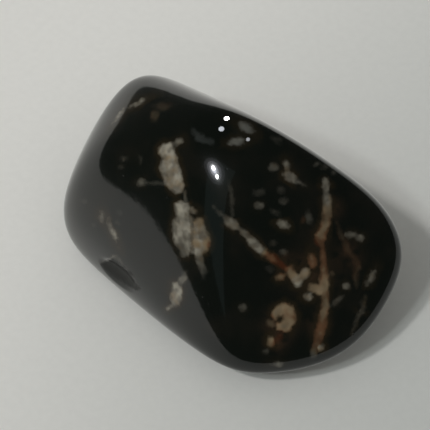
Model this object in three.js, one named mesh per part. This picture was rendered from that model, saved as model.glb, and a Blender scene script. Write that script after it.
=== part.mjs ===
// A tumbled onyx pebble lying on its flat underside.
// Millimetres, +Z up. The long axis is on X, and the stone stands on Z = 0.
//
// Tumbling has worn the stone to broad, nearly flat faces that meet in rounded edges. Its surface
// follows one rule: in each direction from its heart, a point near the middle, the stone reaches
// as far as all the worn faces together allow. A flat to lie on, a scooped chip and a shallow
// hollow are then taken out of it.

import * as THREE from 'three';
import { mergeVertices } from 'three/addons/utils/BufferGeometryUtils.js';

// ---- driving dimensions: millimetres and degrees ----

// Each worn face looks along its azimuth, turned from +X towards +Y, and its tilt above the
// horizon. Its reach is its distance from the heart.
const WORN_FACES = [
  { name: 'crown left', azimuth: 205.5, tilt: 55, reach: 10.1 },
  { name: 'crown right', azimuth: 350.5, tilt: 66, reach: 10.75 },
  { name: 'crown far', azimuth: 134.5, tilt: 59.5, reach: 11.1 },
  { name: 'crown near', azimuth: 295.5, tilt: 71, reach: 9.2 },
  { name: 'left end, near half', azimuth: 254, tilt: 33, reach: 7.5 },
  { name: 'left end, far half', azimuth: 198.5, tilt: 15, reach: 14.05 },
  { name: 'near flank, left', azimuth: 272.5, tilt: 31, reach: 7.45 },
  { name: 'near flank, right', azimuth: 312.5, tilt: 38, reach: 7.85 },
  { name: 'near flank, low', azimuth: 258, tilt: 0, reach: 9.5 },
  { name: 'far flank', azimuth: 90, tilt: 27, reach: 8.2 },
  { name: 'far flank, low', azimuth: 71, tilt: -2, reach: 11.0 },
  { name: 'right end', azimuth: 343.5, tilt: 43, reach: 9.55 },
  { name: 'underside', azimuth: 0, tilt: -90, reach: 7.9 },
  { name: 'underside, left end', azimuth: 195, tilt: -54.5, reach: 17.55 },
  { name: 'underside, right end', azimuth: 43.5, tilt: -53, reach: 9.85 },
  { name: 'underside, far', azimuth: 132, tilt: -44.5, reach: 8.1 },
  { name: 'underside, near', azimuth: 291.5, tilt: -70.5, reach: 9.3 },
  { name: 'underside, near right', azimuth: 355.5, tilt: -67, reach: 10.6 },
];
const EDGE_CRISPNESS = 10; // higher gives tighter edges between the worn faces
const REST_DEPTH = 7.6; // the flat that the stone lies on, below the heart

// The chip is scooped out of the left end's surface by an egg-shaped cutter. `at` is where it is
// seen from the heart, and `looks` is the way it faces. `twist` turns its length up from level.
const CHIP = {
  at: { azimuth: 236.5, tilt: -20.5, reach: 10.75 },
  looks: { azimuth: 257, tilt: 6 },
  twist: 18,
  deep: 0.5,
  cutter: new THREE.Vector3(3.1, 1.7, 1.3), // along its length, across it and into the stone
  rounding: 0.3, // how far its worn rim blends into the surface
};

// The hollow is a smooth dip near the far edge of the crown.
const HOLLOW = {
  looks: { azimuth: 104, tilt: 82 },
  twist: -12,
  deep: 0.4,
  long: 1.4,
  wide: 0.9,
};

// The mesh starts as a ball of near-equal triangles. The ball is stretched to about the stone's
// proportions, so that its corners stay evenly spread out to the far ends of the stone.
const MESH_DETAIL = 20; // cuts in each side of the ball's icosahedron: 8,820 triangles in all
const BALL_STRETCH = new THREE.Vector3(1.6, 1.1, 1);

const ONYX_COLOUR = 0x0c0b0a;
const ONYX_ROUGHNESS = 0.06;

// ---- directions ----

function direction({ azimuth, tilt }) {
  const turn = THREE.MathUtils.degToRad(azimuth);
  const elevation = THREE.MathUtils.degToRad(tilt);
  const level = Math.cos(elevation);
  return new THREE.Vector3(level * Math.cos(turn), level * Math.sin(turn), Math.sin(elevation));
}

// The axes of a mark on the surface: along it, across it and out of the stone.
function markAxes({ looks, twist }) {
  const out = direction(looks);
  const level = new THREE.Vector3(0, 0, 1).cross(out).normalize();
  const along = level.applyAxisAngle(out, THREE.MathUtils.degToRad(twist));
  const across = new THREE.Vector3().crossVectors(out, along);
  return [along, across, out];
}

// A vector's parts along three axes.
function partsAlong(axes, vector) {
  return new THREE.Vector3(...axes.map((axis) => axis.dot(vector)));
}

// ---- the surface rule: how far the stone reaches along a unit direction from its heart ----

const wornFaces = WORN_FACES.map((face) => ({ normal: direction(face), reach: face.reach }));

function wornRadius(unit) {
  let total = 0;
  for (const { normal, reach } of wornFaces) {
    total += Math.max(unit.dot(normal) / reach, 0) ** EDGE_CRISPNESS;
  }
  return total ** (-1 / EDGE_CRISPNESS);
}

function restRadius(unit) {
  return unit.z < 0 ? REST_DEPTH / -unit.z : Infinity;
}

// The depth of the hollow below a point of the worn surface: a smooth bell.
const hollowAxes = markAxes(HOLLOW);
function hollowDepth(point) {
  const local = partsAlong(hollowAxes, point);
  if (local.z < 0) return 0;
  return HOLLOW.deep * Math.exp(-((local.x / HOLLOW.long) ** 2) - (local.y / HOLLOW.wide) ** 2);
}

// Where the ray enters the chip's cutter. In the cutter's own axes, each divided by its size, the
// cutter is a ball of radius 1, so the ray meets it where a quadratic is zero.
const chipAxes = markAxes(CHIP);
const cutterCentre = direction(CHIP.at)
  .multiplyScalar(CHIP.at.reach)
  .addScaledVector(chipAxes[2], CHIP.cutter.z - CHIP.deep);
const ballCentre = partsAlong(chipAxes, cutterCentre).divide(CHIP.cutter);
function chipRadius(unit) {
  const ray = partsAlong(chipAxes, unit).divide(CHIP.cutter);
  const towards = ray.dot(ballCentre);
  const root = towards ** 2 - ray.lengthSq() * (ballCentre.lengthSq() - 1);
  if (towards < 0 || root < 0) return Infinity;
  return (towards - Math.sqrt(root)) / ray.lengthSq();
}

// The smaller of two reaches, eased where they are nearly the same.
function easedMinimum(first, second, width) {
  const nearness = Math.max(1 - Math.abs(first - second) / width, 0);
  return Math.min(first, second) - (nearness ** 3 * width) / 6;
}

function stoneRadius(unit) {
  const worn = wornRadius(unit);
  const hollowed = worn - hollowDepth(unit.clone().multiplyScalar(worn));
  const chipped = easedMinimum(hollowed, chipRadius(unit), CHIP.rounding);
  return Math.min(chipped, restRadius(unit));
}

// ---- the solid ----

// The ball with shared corners, each moved along its own ray from the heart to the surface.
function stoneGeometry() {
  const ball = new THREE.IcosahedronGeometry(1, MESH_DETAIL);
  ball.deleteAttribute('normal');
  ball.deleteAttribute('uv');
  const geometry = mergeVertices(ball);
  const corners = geometry.getAttribute('position');
  const corner = new THREE.Vector3();
  for (let i = 0; i < corners.count; i += 1) {
    corner.fromBufferAttribute(corners, i).multiply(BALL_STRETCH).normalize();
    corner.multiplyScalar(stoneRadius(corner));
    corners.setXYZ(i, corner.x, corner.y, corner.z);
  }
  geometry.computeVertexNormals();
  geometry.computeBoundingBox();
  return geometry;
}

const stone = new THREE.Mesh(
  stoneGeometry(),
  new THREE.MeshStandardMaterial({ color: ONYX_COLOUR, roughness: ONYX_ROUGHNESS, metalness: 0 }),
);
stone.name = 'stone';

// The stone lies on Z = 0 with the middle of its box over the origin.
const box = stone.geometry.boundingBox;
const middle = box.getCenter(new THREE.Vector3());
stone.position.set(-middle.x, -middle.y, -box.min.z);

const group = new THREE.Group();
group.add(stone);

export default group;
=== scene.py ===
# %% [markdown]
# # A tumbled onyx
#
# A tumbled onyx starts as a broken lump of black chalcedony. It rolls in a drum with finer and
# finer grit until its corners are round and its skin shines like wet glass. Where other minerals
# grew in it, cream and rust coloured veins and spots show in the black.
#
# The lesson builds one such stone in four steps: the light it is seen in, its worn form, the
# marks in it, and its polish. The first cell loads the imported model. Its one solid gives the
# size and the place that the finished stone has to keep.

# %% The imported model
import math

import bpy
import numpy as np
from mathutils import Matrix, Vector


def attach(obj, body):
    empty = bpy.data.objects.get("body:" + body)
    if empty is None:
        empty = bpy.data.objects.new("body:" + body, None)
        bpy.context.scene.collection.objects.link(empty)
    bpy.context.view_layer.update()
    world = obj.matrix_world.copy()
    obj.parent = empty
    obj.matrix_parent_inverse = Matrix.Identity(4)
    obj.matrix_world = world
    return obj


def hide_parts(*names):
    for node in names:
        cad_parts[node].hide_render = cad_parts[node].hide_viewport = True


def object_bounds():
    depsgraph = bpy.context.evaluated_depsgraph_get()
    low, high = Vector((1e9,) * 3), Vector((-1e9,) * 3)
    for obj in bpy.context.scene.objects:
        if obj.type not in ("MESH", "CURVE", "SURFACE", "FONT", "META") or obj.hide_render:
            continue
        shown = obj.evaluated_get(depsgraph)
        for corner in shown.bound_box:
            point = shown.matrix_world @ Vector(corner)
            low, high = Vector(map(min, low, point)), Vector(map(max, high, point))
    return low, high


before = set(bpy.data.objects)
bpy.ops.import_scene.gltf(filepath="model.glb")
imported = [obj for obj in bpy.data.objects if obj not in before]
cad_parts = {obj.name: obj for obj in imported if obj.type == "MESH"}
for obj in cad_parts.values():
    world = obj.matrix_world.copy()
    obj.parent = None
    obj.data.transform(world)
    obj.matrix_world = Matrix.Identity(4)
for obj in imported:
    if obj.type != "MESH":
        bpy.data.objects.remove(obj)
cad_low, cad_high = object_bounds()
MM = 0.001
print("box of the packed stone, mm:", [round(side / MM, 2) for side in cad_high - cad_low])

# %% [markdown]
# ## The camera
#
# The camera looks down on the stone from its near side, through a long lens that is 200 mm away.
# At that distance the far end looks nearly as large as the near end. A direction is given here
# the way a map does it: an azimuth, turned from +X towards +Y, and an elevation above the floor.
# That is easier to think in than three angles of rotation, so a helper turns it into a vector.

# %% Directions and places
def compass(azimuth, elevation):
    """The unit direction with that azimuth and elevation, in degrees."""
    turn, rise = math.radians(azimuth), math.radians(elevation)
    level = math.cos(rise)
    return Vector((level * math.cos(turn), level * math.sin(turn), math.sin(rise)))


def place_in_scene(name, data):
    """An object for that data, linked into the scene."""
    placed = bpy.data.objects.new(name, data)
    bpy.context.scene.collection.objects.link(placed)
    return placed


def aim(placed, direction):
    """Turns a camera or a lamp to look along a direction."""
    placed.rotation_euler = direction.to_track_quat("-Z", "Y").to_euler()


print("azimuth 90 is +Y:", compass(90, 0).to_tuple(2))

# %% The camera
VIEW_AZIMUTH = 306
VIEW_ELEVATION = 54
VIEW_DISTANCE = 200 * MM
LOOKED_AT = Vector((-1.19, -0.48, 7.6)) * MM  # the point in the middle of the picture
PICTURE_WIDTH = 36.85 * MM  # what the picture takes in at the point looked at
NEAREST_SEEN = 10 * MM
SENSOR = 36  # mm

towards_camera = compass(VIEW_AZIMUTH, VIEW_ELEVATION)
camera_data = bpy.data.cameras.new("camera")
camera_data.sensor_width = SENSOR
camera_data.lens = SENSOR * VIEW_DISTANCE / PICTURE_WIDTH
camera_data.clip_start = NEAREST_SEEN
camera = place_in_scene("camera", camera_data)
camera.location = LOOKED_AT + VIEW_DISTANCE * towards_camera
aim(camera, -towards_camera)
bpy.context.scene.camera = camera
bpy.context.scene.view_settings.view_transform = "Standard"
print("lens, mm:", round(camera_data.lens, 1))

# %% [markdown]
# ## Wiring nodes
#
# The floor, the form and the polish are all made by node trees. A tree is easier to read in a
# script when each node is one call, so a few small helpers do the wiring: any node, one step of
# arithmetic on numbers, one on vectors, and a mix of two colours.

# %% A node and its wires
def plug(tree, value, socket):
    """Links another node's output to a socket, or sets the socket to a plain value."""
    if isinstance(value, bpy.types.NodeSocket):
        tree.links.new(value, socket)
    else:
        socket.default_value = value


def add_node(tree, kind, inputs=None, **settings):
    """Adds a node, makes its settings, and fills its inputs by name or by number."""
    node = tree.nodes.new(kind)
    for name, value in settings.items():
        setattr(node, name, value)
    for socket, value in (inputs or {}).items():
        plug(tree, value, node.inputs[socket])
    return node


def new_group(name, inputs, outputs):
    """An empty group of geometry nodes. Inputs are (name, type, value), outputs (name, type)."""
    group = bpy.data.node_groups.new(name, "GeometryNodeTree")
    for label, kind, value in inputs:
        socket = group.interface.new_socket(label, in_out="INPUT", socket_type="NodeSocket" + kind)
        if value is not None:
            socket.default_value = value
    for label, kind in outputs:
        group.interface.new_socket(label, in_out="OUTPUT", socket_type="NodeSocket" + kind)
    given = group.nodes.new("NodeGroupInput").outputs
    return group, given, group.nodes.new("NodeGroupOutput").inputs


NODES_A_COLUMN = 8
COLUMN_WIDTH = 220
ROW_HEIGHT = 200


def spread_out(tree):
    """Lays the nodes out in columns, in the order they were made, so the tree can be read."""
    for index, node in enumerate(tree.nodes):
        column, row = divmod(index, NODES_A_COLUMN)
        node.location = (column * COLUMN_WIDTH, -row * ROW_HEIGHT)


print("a column of a tree holds", NODES_A_COLUMN, "nodes")

# %% Sums, mixes and ramps
NUMBER_RESULTS = ("DOT_PRODUCT", "LENGTH", "DISTANCE")
MIX_SHARE, MIX_FIRST, MIX_SECOND, MIX_RESULT = 0, 6, 7, 2  # the colour sockets of a Mix node


def calc(tree, operation, *values):
    """One step of arithmetic on numbers."""
    return add_node(tree, "ShaderNodeMath", dict(enumerate(values)), operation=operation).outputs[0]


def total(tree, parts):
    """The sum of several numbers."""
    running = parts[0]
    for part in parts[1:]:
        running = calc(tree, "ADD", running, part)
    return running


def vector_calc(tree, operation, *values, scale=None):
    """One step of arithmetic on vectors."""
    node = add_node(tree, "ShaderNodeVectorMath", dict(enumerate(values)), operation=operation)
    if scale is not None:
        plug(tree, scale, node.inputs["Scale"])
    return node.outputs["Value" if operation in NUMBER_RESULTS else "Vector"]


def mix_colours(tree, share, first, second):
    """The first colour where the share is 0, and the second where it is 1."""
    inputs = {MIX_SHARE: share, MIX_FIRST: first, MIX_SECOND: second}
    return add_node(tree, "ShaderNodeMix", inputs, data_type="RGBA").outputs[MIX_RESULT]


def ramp(tree, value, start, end, low=0.0, high=1.0):
    """A smooth step from low, where the value is at the start, to high at the end."""
    inputs = {"Value": value, "From Min": start, "From Max": end, "To Min": low, "To Max": high}
    return add_node(tree, "ShaderNodeMapRange", inputs, interpolation_type="SMOOTHSTEP").outputs[0]


print("vector steps that give a number:", ", ".join(NUMBER_RESULTS).lower())

# %% [markdown]
# ## The floor
#
# The stone lies on a plain matt sheet. Its colour is painted darker towards one side, as painted
# shade for the lamps' light falling off across it, and a fine grain keeps it from looking like a
# screen. It reaches far past the picture, because the stone's sides mirror it out to where it
# meets the dark of the room.

# %% A new finish
def new_finish(name, roughness):
    """A material, its tree, its shader and the place on the object, in millimetres."""
    finish = bpy.data.materials.new(name)
    finish.use_nodes = True
    tree = finish.node_tree
    shader = tree.nodes["Principled BSDF"]
    shader.inputs["Roughness"].default_value = roughness
    metres = add_node(tree, "ShaderNodeTexCoord").outputs["Object"]
    return finish, tree, shader, vector_calc(tree, "SCALE", metres, scale=1 / MM)


FLOOR_ROUGHNESS = 0.8
FLOOR_SHINE = 0.1

floor_finish, tree, shader, place = new_finish("pale sheet", FLOOR_ROUGHNESS)
shader.inputs["Specular IOR Level"].default_value = FLOOR_SHINE
print("finish:", floor_finish.name)

# %% The floor
FLOOR_HALF_SIZE = 1.5  # m
# painted shade: the sheet's colour goes from a lit side to a shaded side, standing in for the lamps'
# light falling off
FLOOR_PAINTED_LIT_SIDE = (0.92, 0.905, 0.865, 1)
FLOOR_PAINTED_SHADE_SIDE = (0.6, 0.61, 0.585, 1)
PAINTED_SHADE_AZIMUTH = 5  # the way that the floor darkens
PAINTED_SHADE_HALF_WIDTH = 30  # mm from the middle to the end of the change
SHEET_GRAIN = {"Scale": 1.5, "Detail": 3}  # lumps a mm, and how many finer layers
GRAIN_MIDDLE = (0.2, 0.8)  # the range of the noise that is used
GRAIN_CONTRAST = 0.015  # the share by which the grain lightens and darkens the sheet
CORNERS = ((-1, -1), (1, -1), (1, 1), (-1, 1))

corners = [(x * FLOOR_HALF_SIZE, y * FLOOR_HALF_SIZE, 0) for x, y in CORNERS]
floor_mesh = bpy.data.meshes.new("floor")
floor_mesh.from_pydata(corners, [], [range(len(corners))])
floor = place_in_scene("floor", floor_mesh)

# painted shade: how far a point lies along the fall sets how much darker its colour is painted
down_the_painted_shade = vector_calc(tree, "DOT_PRODUCT", place, compass(PAINTED_SHADE_AZIMUTH, 0))
painted_shade_share = ramp(tree, down_the_painted_shade, -PAINTED_SHADE_HALF_WIDTH, PAINTED_SHADE_HALF_WIDTH)
sheet_with_painted_shade = mix_colours(tree, painted_shade_share, FLOOR_PAINTED_LIT_SIDE, FLOOR_PAINTED_SHADE_SIDE)
grain = add_node(tree, "ShaderNodeTexNoise", {"Vector": place, **SHEET_GRAIN}).outputs[0]
grain_share = ramp(tree, grain, *GRAIN_MIDDLE, low=1 - GRAIN_CONTRAST, high=1 + GRAIN_CONTRAST)
plug(tree, vector_calc(tree, "SCALE", sheet_with_painted_shade, scale=grain_share), shader.inputs["Base Color"])
spread_out(tree)
floor_mesh.materials.append(floor_finish)
print("floor, m across:", 2 * FLOOR_HALF_SIZE)

# %% [markdown]
# ## The light
#
# A polished black stone is mostly a dark mirror, so its look is made by what is around it. Its
# sides mirror the pale floor and turn grey. Its top mirrors the dark room and stays black, and
# where the two meet there is a crisp edge.
#
# Two small lamps stand close together, on the left, and one is twice as strong as the other.
# They give the pair of bright dots and the double edge of the shadow. Two suns do this well,
# because they need only a direction. The shine of lamps fades outwards, as through milky shades,
# and a few wide and very faint suns behind them do that. A dim tall window adds a pale streak.
#
# The light of the room itself is even and soft. A world shader that asks what kind of ray it
# answers keeps it out of the mirror: a pale room lights the floor, and the stone mirrors a dark
# one.

# %% The lamps
LAMPS = {  # azimuth and elevation in degrees, strength, and colour
    "strong lamp": (251, 57, 0.72, (1.0, 0.985, 0.965)),
    "weak lamp": (264.5, 52.5, 0.35, (0.94, 1.0, 0.98)),
}
LAMP_WIDTH = 4.2  # degrees across, as seen from the stone


def hang_sun(name, azimuth, elevation, width, strength, colour):
    """A sun that looks as wide as that from the stone, in degrees."""
    sun_data = bpy.data.lights.new(name, "SUN")
    sun_data.angle = math.radians(width)
    sun_data.energy = strength
    sun_data.color = colour
    sun = place_in_scene(name, sun_data)
    sun.location = compass(azimuth, elevation)
    aim(sun, -compass(azimuth, elevation))


for name, (azimuth, elevation, strength, colour) in LAMPS.items():
    hang_sun(name, azimuth, elevation, LAMP_WIDTH, strength, colour)
print("lamps:", len(LAMPS))

# %% The glow round the lamps
GLOW_AZIMUTH = 255
GLOW_ELEVATION = 55.5
GLOW_COLOUR = (0.93, 0.97, 1.08)
GLOWS = {6: 0.08, 12: 0.09, 19: 0.06, 27: 0.035}  # degrees across, and strength

for width, strength in GLOWS.items():
    hang_sun(f"glow {width}", GLOW_AZIMUTH, GLOW_ELEVATION, width, strength, GLOW_COLOUR)
print("glows:", len(GLOWS))

# %% The window
WINDOW_AZIMUTH = 269
WINDOW_ELEVATION = 42
WINDOW_DISTANCE = 2.0  # m
WINDOW_WIDTH = 1.0  # m
WINDOW_HEIGHT = 2.2  # m
WINDOW_POWER = 0.6  # W
WINDOW_COLOUR = (0.72, 1.0, 1.0)

window_data = bpy.data.lights.new("dim window", "AREA")
window_data.shape = "RECTANGLE"
window_data.size = WINDOW_WIDTH
window_data.size_y = WINDOW_HEIGHT
window_data.energy = WINDOW_POWER
window_data.color = WINDOW_COLOUR
window = place_in_scene("dim window", window_data)
window.location = WINDOW_DISTANCE * compass(WINDOW_AZIMUTH, WINDOW_ELEVATION)
aim(window, -window.location)
print("window, degrees above the floor:", WINDOW_ELEVATION)

# %% The room
ROOM_LIGHT = (0.32, 0.32, 0.31, 1)  # what it gives to the floor
ROOM_MIRRORED = (0.036, 0.038, 0.033, 1)  # what the stone shows of it

room = bpy.data.worlds.new("room")
room.use_nodes = True
bpy.context.scene.world = room
tree = room.node_tree
mirrored = add_node(tree, "ShaderNodeLightPath").outputs["Is Glossy Ray"]
room_colour = mix_colours(tree, mirrored, ROOM_LIGHT, ROOM_MIRRORED)
plug(tree, room_colour, tree.nodes["Background"].inputs["Color"])
spread_out(tree)
print("room light:", ROOM_LIGHT[:3])

# %% [markdown]
# ## The worn form
#
# Tumbling wears a lump down to broad, nearly flat faces that meet in round edges. That form
# follows one rule. Seen from the heart of the stone, each face at distance *d* along its
# direction *n* pulls on every direction *u* with the strength of (n·u / d) to a high power. The
# pulls are added up, and the surface lies where the sum is one. The higher the power, the
# tighter the edges.
#
# A sculpted mesh could look the same, but a rule gives as fine a mesh as wanted, with true round
# edges. Geometry Nodes suit it: one small group stands for a face, and the tree uses it once for
# each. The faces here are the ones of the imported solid, so the two agree.

# %% The faces
WORN_FACES = {  # azimuth and tilt in degrees, and distance from the heart in mm
    "crown left": (205.5, 55, 10.1),
    "crown right": (350.5, 66, 10.75),
    "crown far": (134.5, 59.5, 11.1),
    "crown near": (295.5, 71, 9.2),
    "left end, near half": (254, 33, 7.5),
    "left end, far half": (198.5, 15, 14.05),
    "near flank, left": (272.5, 31, 7.45),
    "near flank, right": (312.5, 38, 7.85),
    "near flank, low": (258, 0, 9.5),
    "far flank": (90, 27, 8.2),
    "far flank, low": (71, -2, 11.0),
    "right end": (343.5, 43, 9.55),
    "underside": (0, -90, 7.9),
    "underside, left end": (195, -54.5, 17.55),
    "underside, right end": (43.5, -53, 9.85),
    "underside, far": (132, -44.5, 8.1),
    "underside, near": (291.5, -70.5, 9.3),
    "underside, near right": (355.5, -67, 10.6),
}
EDGE_CRISPNESS = 10.0
REST_DEPTH = 7.6  # mm from the heart down to the flat that the stone lies on
print("worn faces:", len(WORN_FACES))

# %% The pull of a face
worn_face, given, result = new_group(
    "worn face",
    [
        ("Direction", "Vector", None),
        ("Facing", "Vector", None),
        ("Reach", "Float", 10),
        ("Crispness", "Float", EDGE_CRISPNESS),
    ],
    [("Pull", "Float")],
)
squareness = vector_calc(worn_face, "DOT_PRODUCT", given["Direction"], given["Facing"])
in_reach = calc(worn_face, "MAXIMUM", calc(worn_face, "DIVIDE", squareness, given["Reach"]), 0)
plug(worn_face, calc(worn_face, "POWER", in_reach, given["Crispness"]), result["Pull"])
spread_out(worn_face)
print("nodes for a face:", len(worn_face.nodes))

# %% [markdown]
# ## A dip and a chip
#
# Few tumbled stones are perfect. A dip is a shallow bell-shaped hollow that the polish ran into,
# and it throws back lights of its own. A chip is older damage, scooped out with a crisp rim. The
# dip is a group, so that another could be added with one more node. The chip is a ball-shaped
# scoop, stretched along its length: a straight line from the heart meets it where a quadratic is
# zero.

# %% The dip
dip, given, result = new_group(
    "dip",
    [
        ("Point", "Vector", None),
        ("Along", "Vector", None),
        ("Across", "Vector", None),
        ("Out", "Vector", None),
        ("Long", "Float", 1),
        ("Wide", "Float", 1),
        ("Deep", "Float", 0.1),
    ],
    [("Depth", "Float")],
)


def part_along(axis):
    """How far the dip's point lies along one of its axes."""
    return vector_calc(dip, "DOT_PRODUCT", given["Point"], given[axis])


lengthways = calc(dip, "DIVIDE", part_along("Along"), given["Long"])
crossways = calc(dip, "DIVIDE", part_along("Across"), given["Wide"])
spread = calc(dip, "ADD", calc(dip, "POWER", lengthways, 2), calc(dip, "POWER", crossways, 2))
bell = calc(dip, "EXPONENT", calc(dip, "MULTIPLY", spread, -1))
in_front = calc(dip, "GREATER_THAN", part_along("Out"), 0)
depth = calc(dip, "MULTIPLY", calc(dip, "MULTIPLY", bell, given["Deep"]), in_front)
plug(dip, depth, result["Depth"])
spread_out(dip)
print("nodes for a dip:", len(dip.nodes))

# %% Where the dip and the chip are
def mark_axes(azimuth, tilt, twist):
    """Three axes for something on the surface: along it, across it, and out of the stone."""
    out = compass(azimuth, tilt)
    level = Vector((0, 0, 1)).cross(out).normalized()
    turn = math.radians(twist)
    along = level * math.cos(turn) + out.cross(level) * math.sin(turn)
    return along, out.cross(along), out


HOLLOW_AXES = mark_axes(104, 82, twist=-12)
HOLLOW_SIZE = {"Long": 1.4, "Wide": 0.9, "Deep": 0.4}  # mm
CHIP_AT = 10.75 * compass(236.5, -20.5)  # mm from the heart
CHIP_AXES = mark_axes(257, 6, twist=18)
CHIP_DEEP = 0.5  # mm
CHIP_CUTTER = (3.1, 1.7, 1.3)  # mm along, across and into the stone
RIM_ROUNDING = 0.3  # mm, how far the chip's worn rim blends into the surface
print("hollow, mm deep:", HOLLOW_SIZE["Deep"], " chip, mm deep:", CHIP_DEEP)

# %% [markdown]
# ## The tree of the form
#
# The tree starts from a cube whose faces are fine grids. Blown up into a ball it has no poles to
# pinch the mesh, as a globe would have. The tangent evens out the squares, and a stretch to the
# stone's proportions keeps them even at its far ends. Then every point moves along its own line
# from the heart to the surface. A low ripple, much smaller than the eye can measure, keeps the
# worn faces from looking machined.

# %% A ball of even squares
CUTS = 124  # squares along each side of the cube
BALL_STRETCH = (1.6, 1.1, 1)
RIPPLE_HEIGHT = 0.02  # mm
RIPPLE_SIZE = 5.0  # mm

form, given, result = new_group(
    "tumbled form",
    [
        ("Cuts", "Int", CUTS),
        ("Edge crispness", "Float", EDGE_CRISPNESS),
        ("Rest depth", "Float", REST_DEPTH),
        ("Ripple height", "Float", RIPPLE_HEIGHT),
        ("Ripple size", "Float", RIPPLE_SIZE),
        ("Stands at", "Vector", (0, 0, 0)),
        ("Finish", "Material", None),
    ],
    [("Geometry", "Geometry")],
)
across_cube = calc(form, "ADD", given["Cuts"], 1)
cube_inputs = {"Size": (2, 2, 2)} | {f"Vertices {axis}": across_cube for axis in "XYZ"}
cube = add_node(form, "GeometryNodeMeshCube", cube_inputs).outputs["Mesh"]
position = add_node(form, "GeometryNodeInputPosition").outputs[0]
evened = vector_calc(form, "TANGENT", vector_calc(form, "SCALE", position, scale=math.pi / 4))
unit = vector_calc(form, "NORMALIZE", vector_calc(form, "MULTIPLY", evened, BALL_STRETCH))
ball = add_node(form, "GeometryNodeSetPosition", {"Geometry": cube, "Position": unit}).outputs[0]
print("squares on the ball:", 6 * CUTS**2)

# %% The worn faces
pulls = []
for name, (azimuth, tilt, reach) in WORN_FACES.items():
    face_inputs = {
        "Direction": position,
        "Facing": compass(azimuth, tilt),
        "Reach": reach,
        "Crispness": given["Edge crispness"],
    }
    face = add_node(form, "GeometryNodeGroup", face_inputs, node_tree=worn_face, label=name)
    pulls.append(face.outputs[0])
worn = calc(form, "POWER", total(form, pulls), calc(form, "DIVIDE", -1, given["Edge crispness"]))
print("faces in the tree:", len(pulls))

# %% The ripple and the dip
worn_point = vector_calc(form, "SCALE", position, scale=worn)
ripple_scale = calc(form, "DIVIDE", 1, given["Ripple size"])
ripple_place = vector_calc(form, "SCALE", worn_point, scale=ripple_scale)
ripple_inputs = {"Vector": ripple_place, "Scale": 1, "Detail": 1}
ripple = add_node(form, "ShaderNodeTexNoise", ripple_inputs).outputs[0]
ripple_height = calc(form, "MULTIPLY", calc(form, "SUBTRACT", ripple, 0.5), given["Ripple height"])

along, across, out = HOLLOW_AXES
dip_inputs = {"Point": worn_point, "Along": along, "Across": across, "Out": out, **HOLLOW_SIZE}
hollow = add_node(form, "GeometryNodeGroup", dip_inputs, node_tree=dip, label="hollow").outputs[0]
hollowed = calc(form, "SUBTRACT", calc(form, "ADD", worn, ripple_height), hollow)
print("nodes so far:", len(form.nodes))

# %% The chip and the flat
FAR = 1000.0  # mm, past any surface

cutter_middle = CHIP_AT + CHIP_AXES[2] * (CHIP_CUTTER[2] - CHIP_DEEP)
cutter = list(zip(CHIP_AXES, CHIP_CUTTER))
ball_middle = Vector([cutter_middle.dot(axis) / size for axis, size in cutter])
ray_parts = [vector_calc(form, "DOT_PRODUCT", position, axis / size) for axis, size in cutter]
ray = add_node(form, "ShaderNodeCombineXYZ", dict(enumerate(ray_parts))).outputs[0]
ray_squared = vector_calc(form, "DOT_PRODUCT", ray, ray)
towards = vector_calc(form, "DOT_PRODUCT", ray, ball_middle)
outside = calc(form, "MULTIPLY", ray_squared, ball_middle.length_squared - 1)
root = calc(form, "SUBTRACT", calc(form, "POWER", towards, 2), outside)
missed = calc(form, "MAXIMUM", calc(form, "LESS_THAN", root, 0), calc(form, "LESS_THAN", towards, 0))
entry = calc(form, "DIVIDE", calc(form, "SUBTRACT", towards, calc(form, "SQRT", root)), ray_squared)
chip = calc(form, "ADD", entry, calc(form, "MULTIPLY", missed, FAR))

down = vector_calc(form, "DOT_PRODUCT", position, (0, 0, -1))
flat = calc(form, "DIVIDE", given["Rest depth"], calc(form, "MAXIMUM", down, 1 / FAR))
chipped = calc(form, "SMOOTH_MIN", hollowed, chip, RIM_ROUNDING)
reach = calc(form, "MINIMUM", chipped, flat)
print("nodes so far:", len(form.nodes))

# %% Standing the form on the floor
surface = vector_calc(form, "SCALE", position, scale=calc(form, "MULTIPLY", reach, MM))
shape_inputs = {"Geometry": ball, "Position": surface}
shaped = add_node(form, "GeometryNodeSetPosition", shape_inputs).outputs[0]
box = add_node(form, "GeometryNodeBoundBox", {"Geometry": shaped}).outputs
middle = vector_calc(form, "SCALE", vector_calc(form, "ADD", box["Min"], box["Max"]), scale=0.5)
sides = vector_calc(form, "SUBTRACT", box["Max"], box["Min"])
half_height = vector_calc(form, "MULTIPLY", sides, (0, 0, 0.5))
bottom_middle = vector_calc(form, "SUBTRACT", middle, half_height)
move = vector_calc(form, "SUBTRACT", given["Stands at"], bottom_middle)
move_inputs = {"Geometry": shaped, "Offset": move}
standing = add_node(form, "GeometryNodeSetPosition", move_inputs).outputs[0]
smooth = add_node(form, "GeometryNodeSetShadeSmooth", {0: standing}).outputs[0]
real = add_node(form, "GeometryNodeRealizeInstances", {"Geometry": smooth}).outputs[0]
finish_inputs = {"Geometry": real, "Material": given["Finish"]}
finished = add_node(form, "GeometryNodeSetMaterial", finish_inputs).outputs[0]
plug(form, finished, result["Geometry"])
spread_out(form)
print("nodes in the form:", len(form.nodes))

# %% The form as a mesh
SKIN_ROUGHNESS = 0.2

onyx_finish, onyx_tree, onyx_shader, onyx_place = new_finish("polished onyx", SKIN_ROUGHNESS)


def make_mesh(name, tree, values):
    """Runs a node tree on an empty object, and keeps the result as a plain mesh object."""
    carrier = place_in_scene(name, bpy.data.meshes.new(name))
    modifier = carrier.modifiers.new(tree.name, "NODES")
    modifier.node_group = tree
    for item in tree.interface.items_tree:
        if item.name in values:
            modifier[item.identifier] = values[item.name]
    evaluated = carrier.evaluated_get(bpy.context.evaluated_depsgraph_get())
    mesh = bpy.data.meshes.new_from_object(evaluated)
    carrier.modifiers.remove(modifier)
    carrier.data = mesh
    mesh.name = name
    return carrier


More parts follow.
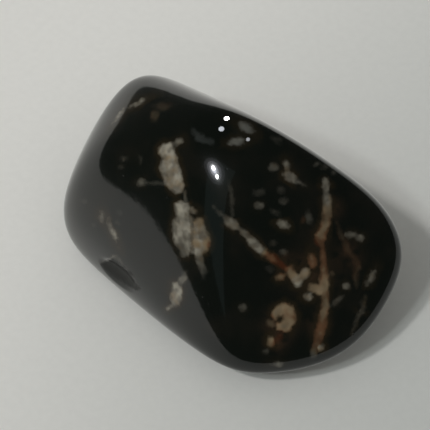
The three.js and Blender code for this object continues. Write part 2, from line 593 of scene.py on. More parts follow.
stand = Vector((cad_low.x + cad_high.x, cad_low.y + cad_high.y, 2 * cad_low.z)) / 2
stone = make_mesh("onyx_stone", form, {"Stands at": stand, "Finish": onyx_finish})
mesh = stone.data
print("triangles:", sum(len(face.vertices) - 2 for face in mesh.polygons))
print("box, mm:", [round(side / MM, 2) for side in stone.dimensions])

# %% [markdown]
# ## Marks in the stone
#
# The cream patches are pockets where pale chalcedony filled a gap. The veins are cracks that
# healed with the same stuff, and iron has stained some of them rust. All lie in the black stone
# and were ground flush with it, so they are colour under the polish and not relief.
#
# They could be painted on an image, but an image has to be wrapped round a form that has no
# seams. Instead each mark is drawn as a few points on a flat card, in millimetres, and the card
# is held up to the stone. Every point of the mesh then works out how far it lies outside the
# nearest mark. The polish turns that distance into a ragged edge, as fine as the render needs.

# %% Cards
CARD_DISTANCE = VIEW_DISTANCE  # from the card to the eye that looks through it at the stone


def new_card(azimuth, elevation):
    """A flat card that faces along a direction, through the point that is looked at."""
    out = compass(azimuth, elevation)
    right = Vector((0, 0, 1)).cross(out).normalized()
    return {"out": np.array(out), "right": np.array(right), "up": np.array(out.cross(right))}


def hold_up(card, points, normals):
    """Where the points fall on a card, in mm, and how squarely the surface faces its viewer."""
    offset = points - np.array(LOOKED_AT)
    nearness = CARD_DISTANCE / (CARD_DISTANCE - offset @ card["out"])
    level = np.stack([offset @ card["right"], offset @ card["up"]], axis=1)
    to_viewer = card["out"] * CARD_DISTANCE - offset
    to_viewer /= np.linalg.norm(to_viewer, axis=1)[:, None]
    return level * nearness[:, None] / MM, np.einsum("ij,ij->i", normals, to_viewer)


near_card = new_card(VIEW_AZIMUTH, VIEW_ELEVATION)
print("near card faces:", near_card["out"].round(2))

# %% Distances on a card
def beside_line(flat, start, end):
    """The nearest point of a line to each point: its share along the line, and the distance."""
    start, along = np.array(start), np.subtract(end, start)
    share = np.clip((flat - start) @ along / (along @ along), 0, 1)
    return share, np.linalg.norm(flat - start - share[:, None] * along, axis=1)


def outside_outline(flat, outline):
    """How far each point lies outside a closed outline. Inside is negative."""
    distance = np.full(len(flat), np.inf)
    inside = np.zeros(len(flat), bool)
    for (ax, ay), (bx, by) in zip(outline, outline[1:] + outline[:1]):
        distance = np.minimum(distance, beside_line(flat, (ax, ay), (bx, by))[1])
        if ay != by:
            level = (flat[:, 1] > ay) != (flat[:, 1] > by)
            inside ^= level & (flat[:, 0] < ax + (bx - ax) * (flat[:, 1] - ay) / (by - ay))
    return np.where(inside, -distance, distance)


def outside_spot(flat, x, y, long, wide, turn):
    """How far each point lies outside an oval, about."""
    angle = math.radians(turn)
    dx, dy = flat[:, 0] - x, flat[:, 1] - y
    lengthways = (dx * math.cos(angle) + dy * math.sin(angle)) / long
    crossways = (dy * math.cos(angle) - dx * math.sin(angle)) / wide
    return (np.hypot(lengthways, crossways) - 1) * min(long, wide)


middle_and_edge = np.array([[0.0, 0.0], [1.0, 0.0]])
print("outside a round spot, mm:", outside_spot(middle_and_edge, 0, 0, 1, 1, 0))

# %% [markdown]
# ## The marks on the near side
#
# Three kinds are enough. A patch is an outline. A vein is a chain of points with its own half
# width at each, and a spot is an oval. Each also says how light it is, from 0 to 1, and how
# rusty. A vein says so at each point, because a real one pales and rusts along its length. Rust
# below zero is a cool grey. Two veins are not marks but painted light: the grey arc is a painted
# reflection, and the chip rim is a painted highlight along the ridges of the chip.
#
# Real marks are cloudy too. A stain is a soft round cloud that makes the marks under it lighter,
# darker or rustier, and turns the black ground brown.

# %% Patches
PATCHES = {  # outline, lightness, rust
    "upper patch": (
        [
            (-4.75, 5.7), (-4.35, 6.15), (-3.65, 6.1), (-3.45, 5.2), (-3.05, 4.0), (-2.75, 2.55),
            (-2.9, 1.95), (-3.35, 1.8), (-4.0, 2.4), (-4.5, 3.2), (-4.75, 4.0), (-4.55, 4.8),
            (-4.75, 5.3),
        ],
        0.9,
        0.1,
    ),
    "middle patch, cream half": (
        [
            (-3.4, 0.95), (-2.9, 1.2), (-2.3, 0.95), (-2.25, 0.05), (-2.15, -0.5), (-1.95, -1.0),
            (-2.0, -1.95), (-1.9, -2.6), (-2.3, -3.5), (-2.85, -3.45), (-3.35, -2.5), (-3.65, -1.4),
            (-3.55, -0.5), (-3.25, -0.1), (-3.4, 0.45),
        ],
        0.72,
        0.05,
    ),
    "middle patch, tan half": (
        [
            (-1.9, -0.7), (-1.5, -0.3), (-1.05, -0.45), (-0.85, -1.3), (-0.35, -2.2),
            (-0.65, -2.95), (-1.2, -3.55), (-1.6, -3.65), (-1.95, -2.95), (-2.1, -2.2),
            (-1.95, -1.55),
        ],
        0.7,
        0.2,
    ),
    "lower patch": (
        [
            (-3.5, -5.8), (-3.1, -5.8), (-2.85, -6.3), (-2.9, -7.3), (-3.2, -7.7), (-3.7, -7.9),
            (-4.1, -8.1), (-3.7, -7.5), (-3.7, -6.6),
        ],
        0.85,
        0.05,
    ),
    "ring": (
        [
            (5.4, -7.8), (6.0, -7.5), (6.6, -7.8), (6.9, -8.5), (6.85, -9.3), (6.4, -9.9),
            (5.9, -10.0), (5.3, -9.8), (5.2, -9.3), (5.6, -9.2), (5.9, -8.9), (5.8, -8.6),
            (5.4, -8.7), (5.2, -9.0), (4.9, -8.6), (5.0, -8.1),
        ],
        0.75,
        0.35,
    ),
}
print("patches:", len(PATCHES))

# %% Veins
VEINS = {  # x, y, half width, lightness, rust
    "patch neck": [
        (-2.6, 2.0, 0.1, 0.35, 0.1), (-2.55, 1.2, 0.12, 0.3, 0.1),
    ],
    "patch seam": [
        (-2.1, -0.3, 0.22, 0.5, 0.12), (-1.95, -1.5, 0.26, 0.55, 0.15),
        (-1.9, -3.1, 0.28, 0.5, 0.15),
    ],
    "patch tail": [
        (-1.4, -3.6, 0.3, 0.55, 0.1), (-1.3, -4.1, 0.25, 0.4, 0), (-0.95, -4.7, 0.24, 0.3, -0.2),
        (-1.05, -5.4, 0.15, 0.1, -0.3),
    ],
    # painted reflection: the grey arc is a reflection in the dip's rim, painted in as a faint cool
    # grey vein
    "grey arc painted reflection": [
        (-1.8, 7.3, 0.18, 0.17, -0.5), (-1.45, 6.7, 0.27, 0.24, -0.5),
        (-1.0, 6.4, 0.27, 0.25, -0.5), (-0.3, 6.3, 0.24, 0.17, -0.5),
    ],
    "lower patch neck": [
        (-2.6, -4.9, 0.2, 0.25, 0), (-2.65, -5.4, 0.3, 0.4, 0), (-3.0, -5.9, 0.2, 0.5, 0),
    ],
    "side whisker": [
        (-6.3, 2.8, 0.15, 0.3, 0), (-5.4, 2.75, 0.08, 0.15, 0), (-4.6, 2.7, 0.12, 0.25, 0),
    ],
    "cross vein": [
        (-0.1, 0.6, 0.1, 0.15, 0), (0.8, -0.1, 0.15, 0.3, 0.1), (1.3, -0.6, 0.34, 0.6, 0.1),
        (1.7, -0.95, 0.32, 0.55, 0.1), (2.1, -1.2, 0.14, 0.4, 0.1), (2.7, -1.8, 0.24, 0.5, 0.1),
        (3.4, -2.5, 0.28, 0.6, 0.1), (4.0, -3.05, 0.34, 0.8, 0.1), (4.5, -3.4, 0.22, 0.6, 0.5),
        (5.1, -3.8, 0.33, 0.7, 0.7), (5.7, -4.3, 0.26, 0.6, 0.85), (6.2, -4.6, 0.24, 0.6, 0.5),
    ],
    "cross vein fork": [
        (6.4, -4.6, 0.3, 0.6, 0.3), (6.6, -5.1, 0.33, 0.72, 0.28), (7.1, -5.7, 0.36, 0.82, 0.16),
        (7.75, -4.9, 0.33, 0.72, 0.2),
    ],
    "hair vein": [
        (1.1, 3.0, 0.06, 0.12, 0), (1.4, 1.6, 0.12, 0.2, 0), (1.5, 0.0, 0.12, 0.2, 0),
    ],
    "long vein": [
        (9.45, 3.0, 0.2, 0.45, 0), (9.5, 2.5, 0.34, 0.65, 0), (9.55, 1.9, 0.2, 0.4, 0.1),
        (9.6, 1.4, 0.3, 0.55, 0.15), (9.65, 0.7, 0.34, 0.6, 0.25), (9.6, 0.0, 0.31, 0.55, 0.3),
        (9.5, -0.6, 0.36, 0.6, 0.35), (9.35, -1.2, 0.4, 0.65, 0.45), (9.05, -1.8, 0.46, 0.6, 0.45),
        (8.95, -2.2, 0.38, 0.45, 0.65), (9.2, -2.8, 0.2, 0.45, 0.6), (9.25, -3.5, 0.22, 0.55, 0.4),
        (9.3, -4.1, 0.18, 0.5, 0.55), (9.35, -4.7, 0.26, 0.6, 0.35), (9.4, -5.3, 0.34, 0.65, 0.35),
        (9.3, -6.2, 0.42, 0.75, 0.3), (9.5, -7.0, 0.26, 0.55, 0.4), (9.5, -7.6, 0.3, 0.6, 0.35),
        (9.35, -8.3, 0.36, 0.62, 0.35), (9.2, -9.0, 0.38, 0.62, 0.4), (9.1, -9.6, 0.38, 0.6, 0.55),
        (8.95, -10.2, 0.38, 0.6, 0.45), (8.75, -10.9, 0.34, 0.5, 0.6),
        (8.55, -11.6, 0.28, 0.35, 0.35), (8.35, -12.3, 0.18, 0.15, 0),
    ],
    "long vein arm": [
        (9.1, -6.4, 0.4, 0.75, 0.3), (8.4, -6.2, 0.32, 0.6, 0.3),
    ],
    "ghost vein": [
        (10.4, -0.6, 0.1, 0.12, 0.4), (10.9, -1.9, 0.25, 0.18, 0.4), (11.3, -2.9, 0.28, 0.2, 0.4),
        (11.9, -3.7, 0.22, 0.15, 0.5), (12.3, -4.4, 0.28, 0.22, 0.4), (12.0, -5.2, 0.22, 0.2, 0.4),
        (12.1, -6.2, 0.12, 0.1, 0.3),
    ],
    "edge vein": [
        (12.9, -6.8, 0.08, 0.15, 0.2), (12.6, -8.2, 0.16, 0.25, 0.2), (12.1, -9.2, 0.1, 0.2, 0.2),
        (11.7, -10.2, 0.08, 0.12, 0.2),
    ],
    # painted highlight: thin light lines along the ridges of the chip, where its edges catch the
    # light
    "chip rim painted highlight": [
        (-9.8, -4.1, 0.05, 0.3, 0), (-8.5, -3.5, 0.05, 0.45, 0), (-8.1, -4.0, 0.05, 0.35, 0),
        (-6.4, -6.25, 0.04, 0.2, 0),
    ],
}
print("veins:", len(VEINS))

# %% Spots
SPOTS = [  # x, y, half length, half width, turn of the length from level, lightness, rust
    (-6.3, 2.8, 0.35, 0.22, 0, 0.4, 0.0), (-7.8, 4.8, 0.22, 0.16, 0, 0.25, 0),
    (-6.4, 4.75, 0.22, 0.1, 90, 0.25, 0), (-7.95, 4.1, 0.2, 0.14, 0, 0.15, 0),
    (-8.3, 8.45, 0.4, 0.09, 55, 0.8, 0), (-6.6, 9.6, 0.36, 0.08, 25, 0.8, 0),
    (-5.2, 8.5, 0.45, 0.35, 70, 0.25, 0.35), (-4.4, 9.3, 0.7, 0.3, 0, 0.18, 0.35),
    (-9.75, -0.15, 0.26, 0.15, 90, 0.7, 0), (-8.8, -1.35, 0.62, 0.15, 112, 0.75, 0),
    (-8.4, -0.7, 0.22, 0.18, 0, 0.15, 0), (-10.35, -0.9, 0.12, 0.1, 0, 0.25, 0),
    (-11.2, 1.2, 0.22, 0.16, 0, 0.12, 0), (-8.2, 0.2, 0.25, 0.2, 0, 0.1, 0),
    (-3.25, 6.2, 0.4, 0.2, 30, 0.5, 0.05), (-1.85, 0.35, 0.3, 0.26, 0, 0.55, 0.15),
    (-3.3, -6.6, 0.35, 0.28, 90, 1, 0), (5.65, -5.3, 0.36, 0.3, 20, 0.6, 0.35),
    (8.3, -3.85, 0.55, 0.3, 100, 0.7, 0.45), (10.0, -5.0, 0.2, 0.16, 0, 0.3, 0.3),
    (7.95, -7.0, 0.32, 0.24, 0, 0.7, 0.1), (8.9, -11.3, 0.28, 0.25, 0, 0.8, 0.1),
    (11.3, -6.1, 0.25, 0.22, 0, 0.45, 0), (10.45, -7.35, 0.45, 0.16, 35, 0.35, 0),
    (11.6, -1.7, 0.42, 0.22, 0, 0.45, 0), (12.4, -2.0, 0.26, 0.24, 0, 0.45, 0),
    (13.35, -5.4, 0.55, 0.2, 63, 0.5, 0), (12.55, -8.3, 0.18, 0.15, 0, 0.5, 0),
    (7.55, -0.45, 0.3, 0.18, 60, 0.2, 0.5), (8.0, -0.2, 0.45, 0.25, 95, 0.2, 0),
    (5.0, 4.1, 0.38, 0.3, 0, 0.3, 0.1), (6.15, 4.2, 0.4, 0.24, 105, 0.5, 0.1),
    (6.4, 3.25, 0.55, 0.36, -40, 0.75, 0.05), (7.1, 2.85, 0.4, 0.16, -25, 0.35, 0),
    (8.75, 4.4, 0.22, 0.18, 0, 0.25, 0), (9.5, 4.1, 0.35, 0.16, 5, 0.22, 0),
    (10.2, 3.7, 0.2, 0.14, 50, 0.2, 0), (5.3, 6.4, 0.45, 0.3, -30, 0.15, 0),
    (5.65, 2.1, 0.3, 0.28, 0, 0.15, 0), (5.85, 1.2, 0.32, 0.28, 0, 0.22, 0),
    (3.8, 1.9, 0.5, 0.3, 10, 0.12, 0), (3.75, 0.85, 0.3, 0.28, 0, 0.35, 0),
    (5.2, 0.2, 0.35, 0.22, -30, 0.15, 0), (5.85, -0.8, 0.48, 0.3, -20, 0.6, 0),
    (5.85, -3.2, 0.3, 0.22, 0, 0.2, 0), (4.9, -2.4, 0.28, 0.25, 0, 0.15, 0.1),
    (4.7, -4.6, 0.3, 0.25, 0, 0.15, 0), (2.7, 7.45, 0.75, 0.36, -32, 0.5, -0.35),
    (1.9, 6.3, 0.65, 0.31, 8, 0.52, -0.35), (2.35, -7.95, 0.32, 0.28, 0, 0.35, 0),
    (4.8, -9.3, 0.36, 0.24, -20, 0.35, 0.3), (4.8, -10.8, 0.42, 0.32, 100, 0.75, 0.1),
    (4.45, -11.7, 0.2, 0.16, 0, 0.3, 0), (5.5, -10.4, 0.45, 0.28, 60, 0.35, 0.7),
    (5.3, -12.8, 0.34, 0.16, 0, 0.4, 0), (6.2, -9.4, 0.35, 0.3, 0, 0.9, 0.1),
]
print("spots:", len(SPOTS))

# %% Stains
STAINS = [  # x, y, reach, and what it adds to lightness, to rust and to the ground's brown
    (-4.1, 5.7, 0.5, 0.1, 0.0, 0.0), (-4.4, 4.4, 0.5, -0.25, 0.0, 0.0),
    (-3.5, 3.6, 0.6, 0.1, 0.05, 0.0), (-2.9, 0.6, 0.45, 0.3, -0.1, 0.0),
    (-2.6, -1.5, 0.5, 0.25, -0.1, 0.0), (-2.9, -3.1, 0.6, -0.4, 0.0, 0.0),
    (-3.5, -1.0, 0.4, -0.15, 0.0, 0.0), (-0.5, -2.5, 0.4, 0.0, 0.25, 0.0),
    (-1.1, -0.4, 0.3, 0.0, 0.15, 0.0), (-1.65, -3.15, 0.35, 0.15, -0.25, 0.0),
    (8.2, -5.0, 1.6, 0.0, 0.0, 0.9), (6.0, -4.2, 0.8, 0.0, 0.2, 0.8),
    (10.1, 0.6, 0.8, 0.0, 0.0, 0.7), (5.6, -9.4, 1.2, 0.0, 0.0, 0.7),
    (5.2, -11.0, 0.8, 0.0, 0.3, 0.8), (8.9, -9.5, 0.9, 0.0, 0.0, 0.7),
    (11.5, -3.5, 1.2, 0.0, 0.0, 0.5), (9.0, -1.8, 0.7, 0.0, 0.0, 0.8),
]
print("stains:", len(STAINS))

# %% The outline of the chip
CHIP_OUTLINE = [
    (-9.8, -4.2), (-8.75, -3.75), (-8.15, -4.15), (-7.3, -4.85), (-6.4, -6.3), (-6.75, -6.5),
    (-8.1, -5.6), (-9.2, -4.8),
]
print("corners of the chip:", len(CHIP_OUTLINE))

# %% [markdown]
# ## The marks on the hidden sides
#
# The far side and the underside get cards of their own. The two long veins are healed cracks
# right through the stone, so they run all the way round it. They are drawn on the near card as
# well, but on the points that face away from it.
#
# The marks there may fall as they like, so chance draws them. A seeded generator wanders a vein
# from a start to an end, grows a patch with an uneven edge, and scatters spots.

# %% Tools of chance
HIDDEN_SEED = 11
VEIN_DRIFT = 0.35  # mm that a vein strays at each step, about
VEIN_WIDTHS = (0.4, 1.4)  # least and most, as shares of what is asked for
VEIN_LIGHTS = (0.4, 1.15)
VEIN_RUSTS = (-0.3, 0.3)  # least and most, added to what is asked for
PATCH_CORNERS = 16
PATCH_EDGES = (0.7, 1.2)  # how far in and out an edge goes, as shares of the patch's size

chance = np.random.default_rng(HIDDEN_SEED)


def wander(start, end, steps, half, light, rust):
    """A vein that strays on its way from start to end."""
    share = np.linspace(0, 1, steps)
    stray = np.cumsum(chance.normal(0, VEIN_DRIFT, (steps, 2)), axis=0)
    stray -= share[:, None] * stray[-1]
    path = np.array(start) + share[:, None] * np.subtract(end, start) + stray
    halves = half * chance.uniform(*VEIN_WIDTHS, steps)
    lights = light * chance.uniform(*VEIN_LIGHTS, steps)
    rusts = rust + chance.uniform(*VEIN_RUSTS, steps)
    return list(zip(path[:, 0], path[:, 1], halves, lights, rusts))


def grow(x, y, long, wide, turn):
    """The outline of a patch: an oval whose edge goes in and out."""
    lean = math.radians(turn)
    outline = []
    for step in range(PATCH_CORNERS):
        angle = 2 * math.pi * step / PATCH_CORNERS
        swell = chance.uniform(*PATCH_EDGES)
        lengthways, crossways = long * swell * math.cos(angle), wide * swell * math.sin(angle)
        corner_x = x + lengthways * math.cos(lean) - crossways * math.sin(lean)
        corner_y = y + lengthways * math.sin(lean) + crossways * math.cos(lean)
        outline.append((corner_x, corner_y))
    return outline


print("hidden sides: seed", HIDDEN_SEED)

# %% Scattered spots
SPOT_LENGTHS = (0.12, 0.45)  # mm, half of the length
SPOT_WIDTHS = (0.1, 0.3)  # mm, half of the width
SPOT_LIGHTS = (1.5, 3.5)  # the two numbers of a beta distribution: most spots come out faint
SPOT_RUSTS = (-0.2, 0.6)
HALF_TURN = 180


def scatter(count, low, high):
    """Spots at random places in a box on a card."""
    spots = []
    for _ in range(count):
        x, y = chance.uniform(low, high)
        long, wide = chance.uniform(*SPOT_LENGTHS), chance.uniform(*SPOT_WIDTHS)
        turn = chance.uniform(0, HALF_TURN)
        light, rust = chance.beta(*SPOT_LIGHTS), chance.uniform(*SPOT_RUSTS)
        spots.append((x, y, long, wide, turn, light, rust))
    return spots


print("a spot is at most this long, mm:", 2 * SPOT_LENGTHS[1])

# %% The far side
THROUGH_VEINS = {
    "long vein": wander((9.5, 5.2), (8.3, -12.9), 26, 0.3, 0.62, 0.35),
    "left vein": wander((-8.6, 9.6), (-5.5, -9.8), 24, 0.16, 0.35, 0.25),
}
FAR_VEINS = {
    "branch": wander((-8.5, 1.5), (-0.5, -2.2), 14, 0.26, 0.55, 0.35),
    "branch end": wander((-0.5, -2.2), (3.0, -1.2), 8, 0.14, 0.3, 0.1),
    "hair vein": wander((1.5, 6.5), (4.5, -5.0), 14, 0.1, 0.3, 0.1),
}
FAR_PATCHES = {
    "long patch": (grow(2.2, 2.6, 1.9, 0.7, 62), 0.8, 0.1),
    "long patch, tan end": (grow(1.4, 0.6, 0.8, 0.55, 50), 0.75, 0.3),
    "patch by the branch": (grow(-4.6, 0.9, 0.8, 0.45, -20), 0.75, 0.3),
    "end patch": (grow(8.6, 0.8, 0.9, 0.5, 110), 0.7, 0.05),
}
FAR_SPOTS = scatter(70, (-14, -6), (14, 8))
FAR_STAINS = [(-6.0, 0.6, 1.8, 0.0, 0.0, 0.8), (1.4, 0.6, 1.2, 0.0, 0.1, 0.7)]
FAR_AZIMUTH = 112
FAR_ELEVATION = 22

far_card = new_card(FAR_AZIMUTH, FAR_ELEVATION)
print("far side:", len(FAR_PATCHES), "patches,", len(FAR_SPOTS), "spots")

# %% The underside
UNDER_VEINS = {"under vein": wander((-9.0, -3.0), (6.0, 4.0), 18, 0.22, 0.5, 0.3)}
UNDER_PATCHES = {"under patch": (grow(-3.0, 2.5, 1.4, 0.6, 20), 0.7, 0.15)}
UNDER_SPOTS = scatter(50, (-14, -10), (14, 10))
UNDER_ELEVATION = -75

under_card = new_card(VIEW_AZIMUTH, UNDER_ELEVATION)
print("underside:", len(UNDER_PATCHES), "patch,", len(UNDER_SPOTS), "spots")

# %% [markdown]
# ## From the cards to the mesh
#
# Each point of the mesh needs one answer, however many cards it can be seen on. So the points
# keep a running result: the nearest mark so far, and how light, rusty and stained the stone is
# there. The cards are drawn one after another, and a card leaves alone what an earlier one has
# reached. The result goes into the mesh as named attributes, which a material can read and
# which stay with the surface whichever way the stone is turned.

# %% What the points keep
UNMARKED = 10.0  # mm, further than any mark's edge matters


class Marks:
    """For every point of the mesh: mm outside its nearest mark, and the stone's looks there."""

    def __init__(self, count):
        self.outside = np.full(count, UNMARKED)
        self.light = np.zeros(count)
        self.rust = np.zeros(count)
        self.ground = np.zeros(count)
        self.seen = np.zeros(count)  # how squarely the cards so far have seen each point

    def add(self, outside, light, rust):
        """Takes a mark's looks where it is nearer than the marks before it."""
        nearer = outside < self.outside
        self.outside = np.where(nearer, outside, self.outside)
        self.light = np.where(nearer, light, self.light)
        self.rust = np.where(nearer, rust, self.rust)

    def stain(self, bell, light, rust, ground):
        """Adds a stain, as strongly as the bell says."""
        self.light += bell * light
        self.rust += bell * rust
        self.ground += bell * ground


points = np.array([vertex.co for vertex in mesh.vertices])
normals = np.array([vertex.normal for vertex in mesh.vertices])
marks = Marks(len(points))
print("points:", len(points))

# %% Drawing a card
SIDEWAYS = 0.1  # a card doesn't reach points that face it less squarely than this


def blend(first, second, share):
    """A value that goes from the first to the second as the share goes from 0 to 1."""
    return first + (second - first) * share


def draw_vein(flat, hidden, chain):
    """Draws a vein between each two points of its chain."""
    for (ax, ay, *first), (bx, by, *second) in zip(chain, chain[1:]):
        share, distance = beside_line(flat, (ax, ay), (bx, by))
        half, light, rust = [blend(a, b, share) for a, b in zip(first, second)]
        marks.add(distance - half + hidden, light, rust)


def draw(card, patches, veins, spots, stains, through=False):
    """Draws on the points that face the card, but not where an earlier card has drawn."""
    flat, squareness = hold_up(card, points, normals)
    turned_away = 0 if through else np.clip(SIDEWAYS - squareness, 0, 1)
    hidden = (turned_away + np.clip(marks.seen - SIDEWAYS, 0, 1)) * UNMARKED
    for outline, light, rust in patches.values():
        marks.add(outside_outline(flat, outline) + hidden, light, rust)
    for chain in veins.values():
        draw_vein(flat, hidden, chain)
    for x, y, long, wide, turn, light, rust in spots:
        marks.add(outside_spot(flat, x, y, long, wide, turn) + hidden, light, rust)
    for x, y, reach, light, rust, ground in stains:
        bell = np.exp(-((flat - (x, y)) ** 2).sum(axis=1) / reach**2) * (hidden == 0)
        marks.stain(bell, light, rust, ground)
    if not through:
        marks.seen = np.maximum(marks.seen, squareness)


draw(near_card, PATCHES, VEINS, SPOTS, STAINS)
draw(near_card, {}, THROUGH_VEINS, [], [], through=True)
draw(far_card, FAR_PATCHES, FAR_VEINS, FAR_SPOTS, FAR_STAINS)
draw(under_card, UNDER_PATCHES, UNDER_VEINS, UNDER_SPOTS, [])
print("points inside a mark:", int((marks.outside < 0).sum()))

# %% Keeping the readings in the mesh
CHIP_ENDS = -0.2  # the chip's dull finish stops where the surface faces further away than this

flat, squareness = hold_up(near_card, points, normals)
past_chip = np.clip(CHIP_ENDS - squareness, 0, 1) * UNMARKED
readings = {
    "outside": marks.outside,
    "light": marks.light,
    "rust": marks.rust,
    "ground": marks.ground,
    "chip": outside_outline(flat, CHIP_OUTLINE) + past_chip,
}
for name, values in readings.items():
    kept = mesh.attributes.new("mark_" + name, "FLOAT", "POINT")
    kept.data.foreach_set("value", values.astype(np.float32))
print("attributes:", ", ".join(readings))

# %% [markdown]
# ## The polish
#
# The finish has two skins, as the real one seems to. The coat is the polish itself: almost a
# mirror, with the refraction of chalcedony. Under it, a soft and weak second shine stands for
# light that scatters just below the surface.
#
# The colour is near black with slow clouds, and brown where iron has stained it. Two sizes of
# noise push the marks' edges in and out, so that no drawn line shows, and mottle their insides.
# Rust deepens from cream through tan to red brown, and most of all along an edge, where water
# got in. The chip was never polished: it has hardly any coat, and its broken skin is dull.

# %% The colours
BODY = (0.003, 0.0044, 0.0032, 1)
BODY_CLOUD = (0.007, 0.0068, 0.0048, 1)
BODY_BROWN = (0.036, 0.0205, 0.0115, 1)
CREAM = (0.32, 0.297, 0.24, 1)
CREAM_SHADE = (0.17, 0.155, 0.125, 1)
# the cool grey also colours the grey arc, which is a painted reflection
COOL_GREY_AND_PAINTED_REFLECTION = (0.17, 0.19, 0.185, 1)
TAN = (0.25, 0.185, 0.112, 1)
RUST = (0.175, 0.085, 0.042, 1)
RED_RUST = (0.085, 0.02, 0.006, 1)
RIM_BROWN = (0.017, 0.012, 0.0055, 1)
BROKEN = (0.026, 0.0262, 0.024, 1)
print("black of the stone:", BODY[:3])

# %% The noises
NOISES = {  # lumps a mm, and how many finer layers
    "edge wander": (1.3, 1),
    "edge crumble": (3.2, 2),
    "rust mottle": (1.2, 1),
    "clouds": (0.25, 3),
    "cream mottle": (1.4, 1),
    "light mottle": (1.1, 1),
    "brown clouds": (0.9, 3),
    "chip edge": (2.5, 2),
    "rough spots": (5, 2),
    "swell": (0.8, 2),
    "grain": (6, 2),
}
NOISE_STEP = 30  # mm from one noise to the next, so that no two match

tree, shader, place = onyx_tree, onyx_shader, onyx_place


def noise(name):
    """One of the noises, from 0 to 1."""
    lumps, layers = NOISES[name]
    moved = vector_calc(tree, "ADD", place, (NOISE_STEP * list(NOISES).index(name), 0, 0))
    inputs = {"Vector": moved, "Scale": lumps, "Detail": layers}
    return add_node(tree, "ShaderNodeTexNoise", inputs).outputs[0]


def swing(name, size):
    """The same noise, from about -size / 2 to size / 2."""
    return calc(tree, "MULTIPLY", calc(tree, "SUBTRACT", noise(name), 0.5), size)


def reading(name):
    """What the mesh keeps under that name."""
    return add_node(tree, "ShaderNodeAttribute", attribute_name="mark_" + name).outputs["Fac"]


print("noises:", len(NOISES))

# %% How much of a mark shows
EDGE_WANDER = 0.4  # mm
EDGE_CRUMBLE = 0.26  # mm
MARK_FADE = (0.2, -0.18)  # mm outside the edge where a mark starts to show, and shows in full
FAINTNESS = 1.35  # a power: the higher it is, the fainter the faint marks are
LIGHTNESS = 0.95  # the share of its own lightness that a mark shows on average
LIGHT_MOTTLE = 1.3  # and how far that share goes up and down

edge_swings = [swing("edge wander", EDGE_WANDER), swing("edge crumble", EDGE_CRUMBLE)]
outside = total(tree, [reading("outside"), *edge_swings])
in_mark = ramp(tree, outside, *MARK_FADE)
faded = calc(tree, "POWER", calc(tree, "MAXIMUM", reading("light"), 0), FAINTNESS)
mottled = calc(tree, "ADD", swing("light mottle", LIGHT_MOTTLE), LIGHTNESS)
light = calc(tree, "MULTIPLY", faded, mottled)
cover = calc(tree, "MULTIPLY", in_mark, add_node(tree, "ShaderNodeClamp", {0: light}).outputs[0])
print("a mark's edge fades over, mm:", round(MARK_FADE[0] - MARK_FADE[1], 2))

# %% The colour of the marks
RUST_MOTTLE = 0.6
EDGE_BAND = (-0.35, 0.05)  # mm outside the edge, where the rust of an edge starts and is full
RUSTY_MARK = (0.1, 0.5)  # the rust of the marks whose edges start to rust, and rust in full
EDGE_RUST = 0.2  # what it adds
CREAM_RANGE = (0.35, 0.65)  # of the noise, from cream to its shade
COOL_RANGE = (-0.1, -0.6)  # of the rust, from cream to cool grey
RUSTS = {TAN: (0.03, 0.35), RUST: (0.32, 0.64), RED_RUST: (0.66, 1.0)}  # and where each comes in

edge_band = ramp(tree, outside, *EDGE_BAND)
rusty_mark = ramp(tree, reading("rust"), *RUSTY_MARK)
edge_rust = calc(tree, "MULTIPLY", calc(tree, "MULTIPLY", edge_band, rusty_mark), EDGE_RUST)
rust = total(tree, [reading("rust"), swing("rust mottle", RUST_MOTTLE), edge_rust])
stained = mix_colours(tree, ramp(tree, noise("cream mottle"), *CREAM_RANGE), CREAM, CREAM_SHADE)
# rust below zero turns a mark cool grey; on the grey arc this is a painted reflection
stained = mix_colours(tree, ramp(tree, reading("rust"), *COOL_RANGE), stained, COOL_GREY_AND_PAINTED_REFLECTION)
for colour, rust_range in RUSTS.items():
    stained = mix_colours(tree, ramp(tree, rust, *rust_range), stained, colour)
print("colours of rust:", len(RUSTS))

# %% The black stone and its marks together
CLOUD_RANGE = (0.45, 0.75)  # of the noise, from black to cloud
BROWN_RANGE = (0.25, 0.6)  # of the noise, from no brown to as much as the reading asks for
BESIDE_MARK = (0.7, 0.0)  # mm outside the edge where the ground starts to brown, and is brown
LIGHT_MARK = (0.2, 0.8)  # how light a mark has to be for that

body = mix_colours(tree, ramp(tree, noise("clouds"), *CLOUD_RANGE), BODY, BODY_CLOUD)
brown_clouds = ramp(tree, noise("brown clouds"), *BROWN_RANGE)
browned = calc(tree, "MULTIPLY", reading("ground"), brown_clouds)
body = mix_colours(tree, browned, body, BODY_BROWN)
beside_mark = ramp(tree, outside, *BESIDE_MARK)
rim = calc(tree, "MULTIPLY", beside_mark, ramp(tree, reading("light"), *LIGHT_MARK))
body = mix_colours(tree, rim, body, RIM_BROWN)
marked = mix_colours(tree, cover, body, stained)
print("nodes so far:", len(tree.nodes))

# %% The chip and the shine
CHIP_CRUMBLE = 0.3  # mm
CHIP_FADE = (0.16, -0.14)  # mm
COAT_LOST = 0.85  # the share of the coat that the chip lacks
MARK_ROUGHNESS = 0.32
CHIP_ROUGHNESS = 0.35  # what the chip adds
ROUGH_SPOTS = 0.08  # how far the roughness goes up and down
SKIN_SHINE = 0.08
COAT_ROUGHNESS = 0.05
REFRACTION = 1.54  # of chalcedony

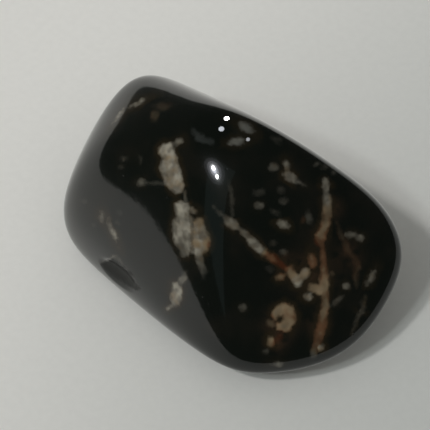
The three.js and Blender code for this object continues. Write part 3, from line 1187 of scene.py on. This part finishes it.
in_chip = ramp(tree, calc(tree, "ADD", reading("chip"), swing("chip edge", CHIP_CRUMBLE)), *CHIP_FADE)
plug(tree, mix_colours(tree, in_chip, marked, BROKEN), shader.inputs["Base Color"])
coat_lost = calc(tree, "MULTIPLY", in_chip, COAT_LOST)
plug(tree, calc(tree, "SUBTRACT", 1, coat_lost), shader.inputs["Coat Weight"])
mark_roughness = ramp(tree, cover, 0, 1, low=SKIN_ROUGHNESS, high=MARK_ROUGHNESS)
chip_roughness = calc(tree, "MULTIPLY", in_chip, CHIP_ROUGHNESS)
roughness = total(tree, [mark_roughness, chip_roughness, swing("rough spots", ROUGH_SPOTS)])
plug(tree, roughness, shader.inputs["Roughness"])
shader.inputs["Specular IOR Level"].default_value = SKIN_SHINE
shader.inputs["Coat Roughness"].default_value = COAT_ROUGHNESS
shader.inputs["Coat IOR"].default_value = REFRACTION
print("refraction of the coat:", REFRACTION)

# %% [markdown]
# ## Small relief
#
# Even a good polish keeps a low swell, a fine grain and a few pits. They are far too small to
# model, so a bump does them, with its height in real millimetres. It goes to the coat as well
# as to the skin below, because each has a normal of its own.
#
# Near the crown's far edge, three specks of the old broken surface still stand at an angle and
# catch the lamps. A bump can't turn a speck far enough, so the normal itself is swung round to
# the way that the speck faces.

# %% Swell, grain and pits
SWELL = 0.004  # mm high
GRAIN = 0.0008  # mm high
PITTING = 0.006  # mm deep
PIT_CELLS = 1.6  # a mm; each cell may hold one pit
PIT_EDGE = 0.16  # from the middle of its cell
PITTED = (0.75, 0.8)  # a cell has a pit where its own random number is above this

swell = calc(tree, "MULTIPLY", noise("swell"), SWELL)
grain = calc(tree, "MULTIPLY", noise("grain"), GRAIN)
cells = add_node(tree, "ShaderNodeTexVoronoi", {"Vector": place, "Scale": PIT_CELLS}).outputs
pit_shape = ramp(tree, cells["Distance"], PIT_EDGE, 0.0)
lot = add_node(tree, "ShaderNodeSeparateColor", {0: cells["Color"]}).outputs[0]
pit = calc(tree, "MULTIPLY", pit_shape, ramp(tree, lot, *PITTED))
height = total(tree, [swell, grain, calc(tree, "MULTIPLY", pit, -PITTING)])
bumped = add_node(tree, "ShaderNodeBump", {"Height": height, "Distance": MM}).outputs[0]
print("pits, mm deep:", PITTING)

# %% Facets
HEART = Vector((-0.213, 0.046, REST_DEPTH))  # mm, where the heart is once the stone stands
FACETS = [  # the middle of each from the heart, its radius in mm, and the way it faces
    ((-1.86, 2.34, 9.78), 0.34, (280.5, 58.2)),
    ((-1.61, 1.25, 9.75), 0.42, (284, 56)),
    ((0.76, 1.68, 9.68), 0.34, (283.2, 57.6)),
]
FACET_CORE = 0.6  # the share of its radius that is fully turned
TO_WORLD = {"vector_type": "NORMAL", "convert_from": "OBJECT", "convert_to": "WORLD"}

for middle, radius, angles in FACETS:
    distance = vector_calc(tree, "DISTANCE", place, HEART + Vector(middle))
    share = ramp(tree, distance, radius, FACET_CORE * radius)
    facing_node = add_node(tree, "ShaderNodeVectorTransform", {0: compass(*angles)}, **TO_WORLD)
    turned = vector_calc(tree, "SCALE", facing_node.outputs[0], scale=share)
    kept = vector_calc(tree, "SCALE", bumped, scale=calc(tree, "SUBTRACT", 1, share))
    bumped = vector_calc(tree, "NORMALIZE", vector_calc(tree, "ADD", kept, turned))
plug(tree, bumped, shader.inputs["Normal"])
plug(tree, bumped, shader.inputs["Coat Normal"])
spread_out(tree)
print("nodes in the polish:", len(tree.nodes))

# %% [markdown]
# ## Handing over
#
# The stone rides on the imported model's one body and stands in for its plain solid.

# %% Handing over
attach(stone, "root")
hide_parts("stone")
